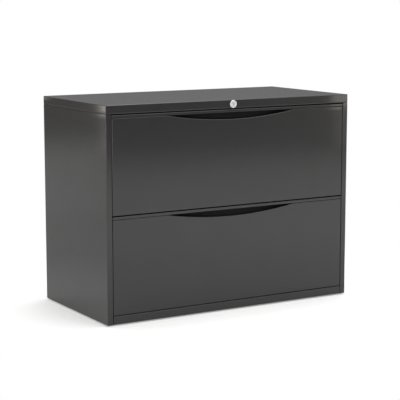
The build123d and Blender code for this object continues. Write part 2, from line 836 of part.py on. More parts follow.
def drawer_lock_strike(bottom):
    """Angle on the right side of the tray that the lock bar's tab stops."""
    strike_front = bar_front + lock_strip + 2.6
    strike_length = 26.0
    strike_reach = 8.6
    with BuildPart() as strike:
        with BuildSketch(Plane.XY.offset(bottom + strike_height)):
            with Locations((tray_half_width, strike_front)):
                Rectangle(1.6, strike_length, align=(Align.MIN, Align.MIN))
                Rectangle(strike_reach, 2.0, align=(Align.MIN, Align.MIN))
        extrude(amount=tab_height)
    return strike


def drawer_rivets(bottom):
    """Rivets between the tray's sides and the inner slide members."""
    centres = [(y, bottom + slide_height) for y in inner_rivet_ys]
    return rivet_bar(centres, tray_half_width - drawer_sheet, drawer_sheet + slide_sheet)


drawer_makers = {
    "front_panel": drawer_front_panel,
    "pull_rail": drawer_pull_rail,
    "pull_cup": drawer_pull_cup,
    "front_liner": drawer_front_liner,
    "tray": drawer_tray,
    "back": drawer_back,
    "hang_rails": drawer_hang_rails,
    "lock_strike": drawer_lock_strike,
    "rivets": drawer_rivets,
}
for drawer, bottom in drawer_bottoms.items():
    for kind, make_piece in drawer_makers.items():
        piece = make_piece(bottom)
        piece.part.label = f"{drawer}_{kind}"
        export_step(piece.part, f"parts/{drawer}_{kind}.step")
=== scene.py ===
import json
import math

import bmesh
import bpy
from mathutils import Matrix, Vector


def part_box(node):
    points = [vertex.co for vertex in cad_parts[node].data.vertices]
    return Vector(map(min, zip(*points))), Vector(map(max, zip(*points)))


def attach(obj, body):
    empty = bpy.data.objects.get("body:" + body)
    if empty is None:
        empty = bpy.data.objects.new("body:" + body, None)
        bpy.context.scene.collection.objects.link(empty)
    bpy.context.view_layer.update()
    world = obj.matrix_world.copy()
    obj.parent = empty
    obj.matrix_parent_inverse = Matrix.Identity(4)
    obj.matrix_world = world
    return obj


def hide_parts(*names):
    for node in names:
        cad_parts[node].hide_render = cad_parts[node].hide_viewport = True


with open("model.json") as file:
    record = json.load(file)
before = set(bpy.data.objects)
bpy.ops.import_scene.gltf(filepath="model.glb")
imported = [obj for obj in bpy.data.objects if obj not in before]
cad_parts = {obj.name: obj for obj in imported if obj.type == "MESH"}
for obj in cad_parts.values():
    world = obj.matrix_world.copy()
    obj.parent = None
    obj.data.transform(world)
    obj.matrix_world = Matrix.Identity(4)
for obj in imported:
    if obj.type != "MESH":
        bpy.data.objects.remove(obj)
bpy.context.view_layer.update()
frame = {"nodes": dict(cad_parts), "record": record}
nodes = frame["nodes"]

# ---------------------------------------------------------------- camera

scene = bpy.context.scene
scene.view_settings.view_transform = "Standard"
scene.view_settings.look = "None"
scene.view_settings.exposure = 0.0
scene.view_settings.gamma = 1.0

CAMERA_PLACE = (-2.279, -3.8416, 1.023)
CAMERA_DOWN = 8.769
CAMERA_TURN = -30.815
CAMERA_LENS = 119.97
CAMERA_SENSOR = 36.0

camera_data = bpy.data.cameras.new("camera")
camera_data.sensor_width = CAMERA_SENSOR
camera_data.lens = CAMERA_LENS
camera = bpy.data.objects.new("camera", camera_data)
camera.location = CAMERA_PLACE
camera.rotation_euler = (math.radians(90 - CAMERA_DOWN), 0.0, math.radians(CAMERA_TURN))
scene.collection.objects.link(camera)
scene.camera = camera

# ---------------------------------------------------------------- materials


class Nodes:
    """A material's node tree, with short calls to add and join its nodes."""

    def __init__(self, name):
        self.material = bpy.data.materials.new(name)
        self.material.use_nodes = True
        self.tree = self.material.node_tree
        self.shader = self.tree.nodes["Principled BSDF"]
        self.place = self.tree.nodes.new("ShaderNodeTexCoord").outputs["Object"]

    def add(self, kind, **settings):
        node = self.tree.nodes.new(kind)
        for key, value in settings.items():
            setattr(node, key, value)
        return node

    def join(self, source, target):
        self.tree.links.new(source, target)

    def set(self, **sockets):
        for key, value in sockets.items():
            self.shader.inputs[key.replace("_", " ")].default_value = value

    def noise(self, scale, detail=3.0, roughness=0.5, stretch=(1, 1, 1)):
        mapping = self.add("ShaderNodeMapping")
        mapping.inputs["Scale"].default_value = stretch
        self.join(self.place, mapping.inputs["Vector"])
        noise = self.add("ShaderNodeTexNoise")
        noise.inputs["Scale"].default_value = scale
        noise.inputs["Detail"].default_value = detail
        noise.inputs["Roughness"].default_value = roughness
        self.join(mapping.outputs["Vector"], noise.inputs["Vector"])
        return noise.outputs["Fac"]

    def spread(self, source, low, high, start=0.3, end=0.7):
        """Maps a noise value onto a range of numbers."""
        ramp = self.add("ShaderNodeMapRange")
        ramp.inputs["From Min"].default_value = start
        ramp.inputs["From Max"].default_value = end
        ramp.inputs["To Min"].default_value = low
        ramp.inputs["To Max"].default_value = high
        self.join(source, ramp.inputs["Value"])
        return ramp.outputs["Result"]

    def tint(self, source, dark, light):
        """Maps a noise value onto a colour between two."""
        mix = self.add("ShaderNodeMix", data_type="RGBA")
        mix.inputs[6].default_value = (*dark, 1.0)
        mix.inputs[7].default_value = (*light, 1.0)
        self.join(source, mix.inputs[0])
        self.join(mix.outputs[2], self.shader.inputs["Base Color"])

    def bump(self, layers):
        """Stacks bumps, each a height source with its strength and depth in metres."""
        normal = None
        for source, strength, depth in layers:
            bump = self.add("ShaderNodeBump")
            bump.inputs["Strength"].default_value = strength
            bump.inputs["Distance"].default_value = depth
            self.join(source, bump.inputs["Height"])
            if normal is not None:
                self.join(normal, bump.inputs["Normal"])
            normal = bump.outputs["Normal"]
        self.join(normal, self.shader.inputs["Normal"])


def finish(name, tint, dark, light, gloss, smooth, rough, bumps=(), **sockets):
    """A material whose colour and roughness follow two noises, with stacked bumps over them.
    A noise is (scale, detail, roughness, stretch), and a bump is (noise, strength, depth)."""
    made = Nodes(name)
    made.set(**sockets)
    made.tint(made.spread(made.noise(*tint), 0.0, 1.0), dark, light)
    made.join(made.spread(made.noise(*gloss), smooth, rough), made.shader.inputs["Roughness"])
    if bumps:
        made.bump([(made.noise(*noise), strength, depth) for noise, strength, depth in bumps])
    return made.material


finishes = {
    "charcoal_paint": finish(
        "charcoal_powder_coat", (9.0, 4.0), (0.018, 0.018, 0.0182), (0.021, 0.021, 0.0212),
        (60.0, 3.0), 0.28, 0.34, [((700.0, 2.0), 0.03, 0.0003), ((5.0, 1.0), 0.05, 0.002)],
        IOR=1.43, Coat_Weight=0.62, Coat_Roughness=0.06, Coat_IOR=1.5),
    "black_moulding": finish(
        "black_moulding", (40.0,), (0.004, 0.004, 0.004), (0.007, 0.007, 0.007),
        (500.0,), 0.62, 0.76, [((1500.0, 2.0), 0.2, 0.0003)], IOR=1.35),
    "zinc_plate": finish(
        "zinc_plate", (30.0, 5.0), (0.50, 0.51, 0.52), (0.66, 0.66, 0.65),
        (220.0, 4.0, 0.6, (1, 0.04, 1)), 0.28, 0.42, Metallic=1.0),
    "lock_chrome": finish(
        "lock_chrome", (60.0,), (0.74, 0.77, 0.80), (0.82, 0.85, 0.88),
        (900.0,), 0.24, 0.34, Metallic=0.45),
    "bumper_rubber": finish(
        "bumper_rubber", (60.0,), (0.014, 0.014, 0.014), (0.024, 0.023, 0.022),
        (300.0,), 0.70, 0.85, [((900.0, 3.0), 0.3, 0.0003)]),
    "ballast_iron": finish(
        "cast_iron", (18.0, 6.0), (0.035, 0.033, 0.031), (0.080, 0.072, 0.066),
        (90.0, 4.0), 0.55, 0.8, [((350.0, 4.0), 0.5, 0.0008), ((40.0, 3.0), 0.3, 0.002)],
        Metallic=0.6),
}
slot_of_node = {part["node"]: part["material_slot"] for part in frame["record"]["subparts"]}
for node, material_slot in slot_of_node.items():
    shown = nodes[node]
    shown.data.materials.clear()
    shown.data.materials.append(finishes[material_slot])

# ---------------------------------------------------------------- mesh tools, in millimetres

MM = 0.001
body_of_node = {}
for body, members in frame["record"]["behaviour"]["bodies"].items():
    for node in members:
        body_of_node[node] = body


def box_mm(node):
    low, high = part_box(node)
    return low / MM, high / MM


def rounded_line(points, radii, steps=4):
    """Polyline of 2-D points with an arc at each inner corner; a radius of 0 keeps it sharp."""
    line = [tuple(points[0])]
    for before, corner, after, radius in zip(points, points[1:], points[2:], radii):
        corner = Vector(corner)
        if radius == 0:
            line.append(tuple(corner))
            continue
        to_before = (Vector(before) - corner).normalized()
        to_after = (Vector(after) - corner).normalized()
        half_angle = to_before.angle(to_after) / 2
        centre = corner + (to_before + to_after).normalized() * radius / math.sin(half_angle)
        reach = radius / math.tan(half_angle)
        start = corner + to_before * reach - centre
        stop = corner + to_after * reach - centre
        sweep = math.atan2(start.x * stop.y - start.y * stop.x, start.dot(stop))
        for k in range(steps + 1):
            turn = sweep * k / steps
            line.append((centre.x + start.x * math.cos(turn) - start.y * math.sin(turn),
                         centre.y + start.x * math.sin(turn) + start.y * math.cos(turn)))
    line.append(tuple(points[-1]))
    return line


# Across a pressed bead: place as a share of its width, and rise as a share of its height
BEAD_PROFILE = (
    (-0.5, 0.0), (-0.3, 0.35), (-0.15, 0.85), (0.0, 1.0), (0.15, 0.85), (0.3, 0.35), (0.5, 0.0),
)


def beaded(start, end, centres, width, height):
    """Straight run from start to end with pressed beads; gives points and their bead offsets."""
    start, end = Vector(start), Vector(end)
    along = (end - start).normalized()
    out = Vector((-along.y, along.x))
    points = [(tuple(start), (0.0, 0.0))]
    for centre in centres:
        for place, rise in BEAD_PROFILE:
            spot = start + along * (centre + place * width)
            points.append((tuple(spot), tuple(out * height * rise)))
    points.append((tuple(end), (0.0, 0.0)))
    return points


def offset_line(line, distance):
    """The line moved sideways by a distance, with mitred corners."""
    moved = []
    last = len(line) - 1
    for k, point in enumerate(line):
        before = Vector(line[k]) - Vector(line[k - 1]) if k else None
        after = Vector(line[k + 1]) - Vector(line[k]) if k < last else None
        if before is None:
            before = after
        if after is None:
            after = before
        normals = [Vector((-edge.y, edge.x)).normalized() for edge in (before, after)]
        middle = (normals[0] + normals[1]).normalized()
        stretch = 1.0 / max(middle.dot(normals[0]), 0.3)
        shift = middle * distance * stretch
        moved.append((point[0] + shift.x, point[1] + shift.y))
    return moved


def rounded_box(centre, half, radius, arc=4):
    """Outline of a rectangle with rounded corners, drawn in by t."""

    def outline(t):
        turn = max(radius - t, 0.2)
        points = []
        for quarter, (su, sv) in enumerate(((1, 1), (-1, 1), (-1, -1), (1, -1))):
            for k in range(arc + 1):
                angle = math.pi / 2 * (quarter + k / arc)
                points.append((centre[0] + su * (half[0] - t - turn) + turn * math.cos(angle),
                               centre[1] + sv * (half[1] - t - turn) + turn * math.sin(angle)))
        return points

    return outline


def circle(centre, radius, count=32):
    """Outline of a circle, drawn in by t."""

    def outline(t):
        angles = [2 * math.pi * k / count for k in range(count)]
        return [(centre[0] + (radius - t) * math.cos(a), centre[1] + (radius - t) * math.sin(a))
                for a in angles]

    return outline


def along_z(u, v, w):
    return u, v, w


def along_y(u, v, w):
    return u, w, v


def along_x(u, v, w):
    return w, u, v


def vertices(bm, points):
    return [bm.verts.new(Vector(point) * MM) for point in points]


def bridge(bm, rings):
    """Joins each ring of vertices to the next."""
    count = len(rings[0])
    for near, far in zip(rings, rings[1:]):
        for k in range(count):
            bm.faces.new((near[k], near[(k + 1) % count], far[(k + 1) % count], far[k]))
    return count


def lathe(bm, outline, steps, place, ends=True, cap=None):
    """Skins an outline through (drawn in, position) steps, and closes both ends."""
    rings = [vertices(bm, [place(u, v, w) for u, v in outline(t)]) for t, w in steps]
    count = bridge(bm, rings)
    if ends:
        for ring in (rings[0], rings[-1]):
            for corners in (cap(count) if cap else (range(count),)):
                bm.faces.new([ring[k] for k in corners])


def skin(bm, sections):
    """Joins closed sections of a folded sheet, each out along one side and back along the other."""
    rings = [vertices(bm, section) for section in sections]
    count = bridge(bm, rings)
    for ring in (rings[0], rings[-1]):
        for k in range(count // 2 - 1):
            bm.faces.new((ring[k], ring[k + 1], ring[count - 2 - k], ring[count - 1 - k]))


def sheet(bm, line, thickness, stations, place, beads=None, envelope=None):
    """Folded sheet of one thickness through the stations, with beads that fade at their ends."""
    back = offset_line(line, thickness)
    sections = []
    for station in stations:
        grow = envelope(station) if envelope else 0.0
        sides = []
        for side in (line, back):
            shifts = beads if beads else [(0.0, 0.0)] * len(line)
            sides.append([place(u + du * grow, v + dv * grow, station)
                          for (u, v), (du, dv) in zip(side, shifts)])
        sections.append(sides[0] + sides[1][::-1])
    skin(bm, sections)


def bead_stations(start, stop, margin, run=14.0, steps=5):
    """Stations with extra ones where the beads fade, and the envelope that fades them."""
    fades = [margin + run * k / steps for k in range(steps + 1)]
    stations = [start] + [start + f for f in fades] + [stop - f for f in reversed(fades)] + [stop]

    def envelope(station):
        depth = min(station - start, stop - station) - margin
        part = min(max(depth / run, 0.0), 1.0)
        return part * part * (3 - 2 * part)

    return stations, envelope


def slab(bm, low, high):
    """Small plate between two corners."""
    middle = [(a + b) / 2 for a, b in zip(low, high)]
    half = [(b - a) / 2 for a, b in zip(low, high)]
    made = bmesh.ops.create_cube(bm, size=2.0)
    for vertex in made["verts"]:
        vertex.co = Vector([(m + h * c) * MM for m, h, c in zip(middle, half, vertex.co)])


WELD = 2e-6
SHARP_ANGLE = math.radians(40)
BEVEL_ANGLE = math.radians(50)
BEVEL_SEGMENTS = 2
NORMAL_WEIGHT = 80


def solid(name, bm):
    """Turns the mesh being built into an object in the scene."""
    bmesh.ops.recalc_face_normals(bm, faces=bm.faces)
    mesh = bpy.data.meshes.new(name)
    bm.to_mesh(mesh)
    bm.free()
    obj = bpy.data.objects.new(name, mesh)
    scene.collection.objects.link(obj)
    return obj


def cut_away(obj, knife):
    """Cuts one object out of another for good, and removes the one that cuts."""
    cut = obj.modifiers.new("cut", "BOOLEAN")
    cut.object = knife
    cut.solver = "EXACT"
    bpy.context.view_layer.update()
    depsgraph = bpy.context.evaluated_depsgraph_get()
    result = bpy.data.meshes.new_from_object(obj.evaluated_get(depsgraph))
    whole, name = obj.data, obj.data.name
    obj.modifiers.clear()
    obj.data = result
    bpy.data.meshes.remove(whole)
    bpy.data.objects.remove(knife)
    result.name = name


def piece(name, node, bm, edge=0.25, cutter=None):
    """Turns the mesh into a finished piece that stands for a CAD node and rides on its body."""
    bmesh.ops.remove_doubles(bm, verts=bm.verts, dist=WELD)
    obj = solid(name, bm)
    if cutter is not None:
        cut_away(obj, solid("cutter", cutter))
    mesh = obj.data
    mesh.materials.clear()
    mesh.materials.append(finishes[slot_of_node[node]])
    for polygon in mesh.polygons:
        polygon.use_smooth = True
        polygon.material_index = 0
    mesh.set_sharp_from_angle(angle=SHARP_ANGLE)
    if edge:
        bevel = obj.modifiers.new("edges", "BEVEL")
        bevel.width = edge * MM
        bevel.segments = BEVEL_SEGMENTS
        bevel.limit_method = "ANGLE"
        bevel.angle_limit = BEVEL_ANGLE
    normals = obj.modifiers.new("normals", "WEIGHTED_NORMAL")
    normals.keep_sharp = True
    normals.weight = NORMAL_WEIGHT
    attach(obj, body_of_node[node])
    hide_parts(node)


# ---------------------------------------------------------------- case

SHEET = 1.2
FOLD = 2.0
INNER_FOLD = 0.8
COVER_ROLL = 3.2
COVER_LIP = 14.0
EDGE = 0.4
HEM_FOLD = 1.2
CORNER = 2.2
STILE_DEPTH = 22.0
STILE_RETURN = 10.0
WELD_FLANGE = 15.0
FLANGE_GAP = 0.05
RAIL_JOINT = 1.1
SHELL_GAP = 0.1
BARREL_HOLE = 9.6
ANCHOR_X = 203.2
ANCHOR_Z = 630.0
ANCHOR_RADIUS = 3.25
BUMPER_RADIUS = 6.0
FAR = 20.0
SIDES = (-1, 1)

cover_low, cover_high = box_mm("top_cover")
lock_low, lock_high = box_mm("lock_housing")
lock_z = (lock_low.z + lock_high.z) / 2
bm = bmesh.new()
lathe(bm, rounded_box((0, 0), (cover_high.x, cover_high.y), CORNER), rounded_line([
    (FAR, cover_high.z), (0, cover_high.z), (0, cover_low.z), (COVER_LIP, cover_low.z),
    (COVER_LIP, cover_low.z + SHEET), (SHEET, cover_low.z + SHEET),
    (SHEET, cover_high.z - SHEET), (FAR, cover_high.z - SHEET),
], (FOLD, COVER_ROLL, EDGE, EDGE, COVER_ROLL - SHEET, INNER_FOLD), 5), along_z)
barrel_hole = bmesh.new()
lathe(barrel_hole, circle((0, lock_z), BARREL_HOLE),
      [(0, cover_low.y - 5.0), (0, cover_low.y + 3.0)], along_y)
piece("cover", "top_cover", bm, cutter=barrel_hole)

for side, node in zip(SIDES, ("left_side_panel", "right_side_panel")):
    low, high = box_mm(node)
    outer, stile = (low.x, high.x) if side < 0 else (high.x, low.x)
    stile_back = low.y + STILE_DEPTH
    bm = bmesh.new()
    line = rounded_line([
        (stile + side, high.y), (outer, high.y), (outer, low.y), (stile, low.y),
        (stile, stile_back), (stile + side * STILE_RETURN, stile_back),
    ], (FOLD, FOLD, HEM_FOLD, FOLD))
    sheet(bm, line, -side * SHEET, [low.z, high.z], along_z)
    inner = outer - side * SHEET
    for level in (low.z + FLANGE_GAP, high.z - SHEET - FLANGE_GAP):
        xs = sorted((inner + side * EDGE, inner - side * (WELD_FLANGE + EDGE)))
        slab(bm, (xs[0], stile_back + 2.0, level), (xs[1], high.y - 2 * SHEET, level + SHEET))
    piece(node.replace("panel", "sheet"), node, bm, edge=0.55)

low, high = box_mm("back_panel")
bm = bmesh.new()
edge_y = high.y - WELD_FLANGE
sheet(bm, rounded_line([(edge_y, low.z), (high.y, low.z), (high.y, high.z), (edge_y, high.z)],
                       (FOLD, FOLD)), SHEET, [low.x, high.x], along_x)
anchor_holes = bmesh.new()
for side in SIDES:
    lathe(anchor_holes, circle((side * ANCHOR_X, ANCHOR_Z), ANCHOR_RADIUS, 24),
          [(0, high.y - 6.0), (0, high.y + 4.0)], along_y)
piece("back_sheet", "back_panel", bm, cutter=anchor_holes)

# Base rail: a channel, open behind, with closed ends that stand off the stiles.
low, high = box_mm("base_front_rail")
left_end, right_end = low.x + RAIL_JOINT, high.x - RAIL_JOINT
inside_edge = SHEET + SHELL_GAP
bm = bmesh.new()
channel = [(high.y, high.z), (low.y, high.z), (low.y, low.z), (high.y, low.z)]
sheet(bm, rounded_line(channel, (FOLD, FOLD)), SHEET, [left_end, right_end], along_x)
for end in (left_end, right_end - SHEET):
    slab(bm, (end, low.y + inside_edge, low.z + inside_edge),
         (end + SHEET, high.y, high.z - inside_edge))
piece("base_rail", "base_front_rail", bm)

low, high = box_mm("counterweight")
middle, half = (low + high) / 2, (high - low) / 2
bm = bmesh.new()
lathe(bm, rounded_box((middle.x, middle.y), (half.x, half.y), 6.0),
      rounded_line([(FAR, high.z), (0, high.z), (1.2, low.z), (FAR, low.z)], (2.5, 2.5)), along_z)
piece("ballast", "counterweight", bm, edge=0)

low, high = box_mm("drawer_bumpers")
bm = bmesh.new()
for x in (low.x + BUMPER_RADIUS, high.x - BUMPER_RADIUS):
    for z in (low.z + BUMPER_RADIUS, high.z - BUMPER_RADIUS):
        lathe(bm, circle((x, z), BUMPER_RADIUS, 24), rounded_line([
            (5.5, low.y), (0.6, low.y), (0.0, low.y + 5.0), (1.6, low.y + 6.0),
            (1.6, low.y + 8.4), (0, high.y - 2.0), (0, high.y), (5.5, high.y),
        ], (2.4, 0.5, 0.5, 0.4, 0.4, 0)), along_y)
piece("bumpers", "drawer_bumpers", bm, edge=0)

# ---------------------------------------------------------------- lock

BEZEL_RADIUS = 12.4
BARREL_DEEP = 2.9
BORE_DEEP = 4.83
PLUG_RADIUS = 7.5
CAM_NECK = 22.0
# Profile of the key slot, across and up from the lock's axis
KEY_SLOT = (
    (-0.45, -4.4), (0.45, -4.4), (0.95, -3.9), (0.95, -1.6), (0.45, -1.3), (0.45, -0.4),
    (0.95, -0.1), (0.95, 3.9), (0.45, 4.4), (-0.45, 4.4), (-0.95, 3.9), (-0.95, 1.6),
    (-0.45, 1.3), (-0.45, 0.5), (-0.95, 0.2), (-0.95, -3.9),
)

bm = bmesh.new()
bezel_front = lock_low.y
bezel_back = cover_low.y
housing_profile = [
    (BORE_DEEP, lock_high.y), (BORE_DEEP, bezel_front + 0.7), (4.3, bezel_front + 0.15),
    (3.4, bezel_front), (2.9, bezel_front + 0.45), (1.6, bezel_front + 0.45),
    (1.1, bezel_front + 0.05), (0, bezel_front + 1.3), (0, bezel_back), (BARREL_DEEP, bezel_back),
    (BARREL_DEEP, lock_high.y), (BORE_DEEP, lock_high.y),
]
housing_radii = (0.2, 0.3, 0.4, 0.25, 0.25, 0.6, 0.9, 0.2, 0.2, 0.2)
lathe(bm, circle((0, lock_z), BEZEL_RADIUS, 48), rounded_line(housing_profile, housing_radii, 3),
      along_y, ends=False)
piece("lock_barrel", "lock_housing", bm, edge=0)

plug_low, plug_high = box_mm("lock_plug")
plug_neck = bezel_back + CAM_NECK
bm = bmesh.new()
plug_profile = [
    (6.9, plug_low.y), (2.4, plug_low.y), (2.0, plug_low.y + 0.3), (1.4, plug_low.y + 0.3),
    (1.0, plug_low.y), (0, plug_low.y), (0, plug_neck), (3.5, plug_neck), (3.5, plug_high.y),
    (6.9, plug_high.y),
]
plug_radii = (0.1, 0.1, 0.1, 0.1, 0.5, 0.3, 0.3, 0.3)
lathe(bm, circle((0, lock_z), PLUG_RADIUS, 48), rounded_line(plug_profile, plug_radii, 3), along_y)
keyway = bmesh.new()
lathe(keyway, lambda t: [(u, lock_z + v) for u, v in KEY_SLOT],
      [(0, plug_low.y - 3.0), (0, plug_low.y + 7.0)], along_y)
piece("lock_cylinder", "lock_plug", bm, edge=0.12, cutter=keyway)

# ---------------------------------------------------------------- feet

THREAD_PITCH = 1.25
THREAD_DEPTH = 0.68
THREAD_RADIUS = 4.0
THREAD_CHAMFER = 0.5
THREAD_RUN_OUT = 1.2
AROUND = 24
PER_TURN = 8
FOOT_RADIUS = 14.0
NUT_RADIUS = 8.0


def hexagon(centre, radius):
    """Outline of a hexagon, drawn in by t."""

    def outline(t):
        size = radius - t
        angles = [math.pi / 3 * k for k in range(6)]
        return [(centre[0] + size * math.cos(a), centre[1] + size * math.sin(a)) for a in angles]

    return outline


def threaded_stem(bm, centre, bottom, top):
    """Stem with a helical thread that runs out at the top."""
    rings = []
    for level in range(int((top - bottom) / THREAD_PITCH * PER_TURN) + 1):
        z = bottom + level * THREAD_PITCH / PER_TURN
        fade = min(max((top - z) / THREAD_RUN_OUT, 0.0), 1.0)
        ring = []
        for k in range(AROUND):
            angle = 2 * math.pi * k / AROUND
            phase = (level / PER_TURN - k / AROUND) % 1.0
            cut = THREAD_DEPTH * min(max(1.15 - abs(2 * phase - 1) * 1.3, 0.0), 1.0)
            radius = THREAD_RADIUS - cut - (1 - fade) * THREAD_CHAMFER
            x = centre[0] + radius * math.cos(angle)
            y = centre[1] + radius * math.sin(angle)
            ring.append((x, y, z))
        rings.append(vertices(bm, ring))
    bridge(bm, rings)
    bm.faces.new(rings[0])
    bm.faces.new(rings[-1])


for node in [name for name in slot_of_node if name.endswith("_glide")]:
    low, high = box_mm(node)
    centre = ((low.x + high.x) / 2, (low.y + high.y) / 2)
    bottom = low.z
    bm = bmesh.new()
    lathe(bm, circle(centre, FOOT_RADIUS, 48), rounded_line([
        (12.0, bottom + 0.8), (4.0, bottom + 0.8), (3.4, bottom), (0, bottom), (0, bottom + 2.6),
        (4.6, bottom + 4.0), (12.0, bottom + 4.0),
    ], (0.4, 0.4, 1.1, 1.4, 1.2)), along_z)
    lathe(bm, hexagon(centre, NUT_RADIUS),
          [(0.5, bottom + 3.6), (0, bottom + 4.0), (0, bottom + 9.3), (0.5, bottom + 9.6)], along_z)
    threaded_stem(bm, centre, bottom + 9.2, high.z)
    piece(node.replace("glide", "foot"), node, bm, edge=0)

# ---------------------------------------------------------------- drawers

OPENING_HALF = 245.0
OPENING_DEPTH = 22.3
GROOVE = 0.8
OPENING_RADIUS = (OPENING_HALF ** 2 + OPENING_DEPTH ** 2) / (2 * OPENING_DEPTH)
COLUMNS = 28
FRONT_CORNER = 2.0
FRONT_RETURN = 12.0
CUP_HALF = 250.0
CUP_WALL = 1.8
CUP_TURN = 9.0
CUP_RIM = 0.6
DRAWER_SHEET = 1.0
TRAY_WEB = 425.4
FLANGE_WIDTH = 12.0
FLANGE_HEM = 3.0
PLAIN_EDGE = 10.0
SIDE_BEAD = (12.0, -1.6)
FLOOR_BEAD = (22.0, 2.4)
FLOOR_BEADS = (90.0, 250.0, 415.4, 580.8, 740.8)
BACK_BEAD = (20.0, 2.4)
BACK_BEADS = (50.0, 150.0)
LINER_RISE = 2.4
RAIL_THICK = 2.5
RAIL_SHEET = 1.05
RIVET_RADIUS = 4.0
RIVET_HEIGHT = 0.8
RIVET_PLACES = (-150.0, 0.0, 150.0)
QUARTER = math.pi / 2


def domed(radius, height, start, towards, steps=4):
    """(drawn in, position) steps of a low dome that rises from its rim."""
    turns = [QUARTER * k / steps for k in range(steps + 1)]
    return [(radius * (1 - math.cos(a)), start + towards * height * math.sin(a)) for a in turns]


def rivets(bm, head_x, tail_x, centres):
    """Rivets along X with a domed head at one end and a smaller set tail at the other."""
    towards = 1 if tail_x > head_x else -1
    head_base = head_x + towards * RIVET_HEIGHT
    tail_base = tail_x - towards * RIVET_HEIGHT
    shrink = RIVET_RADIUS - 3.2
    for y, z in centres:
        head = domed(3.9, RIVET_HEIGHT, head_base, -towards)[::-1]
        tail = [(shrink + t, w) for t, w in domed(3.1, RIVET_HEIGHT, tail_base, towards)]
        steps = head + [(2.0, head_base), (2.0, tail_base)] + tail
        lathe(bm, circle((y, z), RIVET_RADIUS, 20), steps, along_x)


def corner_arc(centre_u, centre_v, radius, first):
    """Five points of a quarter circle, from the first angle in degrees."""
    angles = [math.radians(first + 22.5 * k) for k in range(5)]
    return [(centre_u + radius * math.cos(a), centre_v + radius * math.sin(a)) for a in angles]


def unbeaded(points):
    return [(point, (0.0, 0.0)) for point in points]


def mirrored(points):
    return [(-u, v) for u, v in reversed(points)]


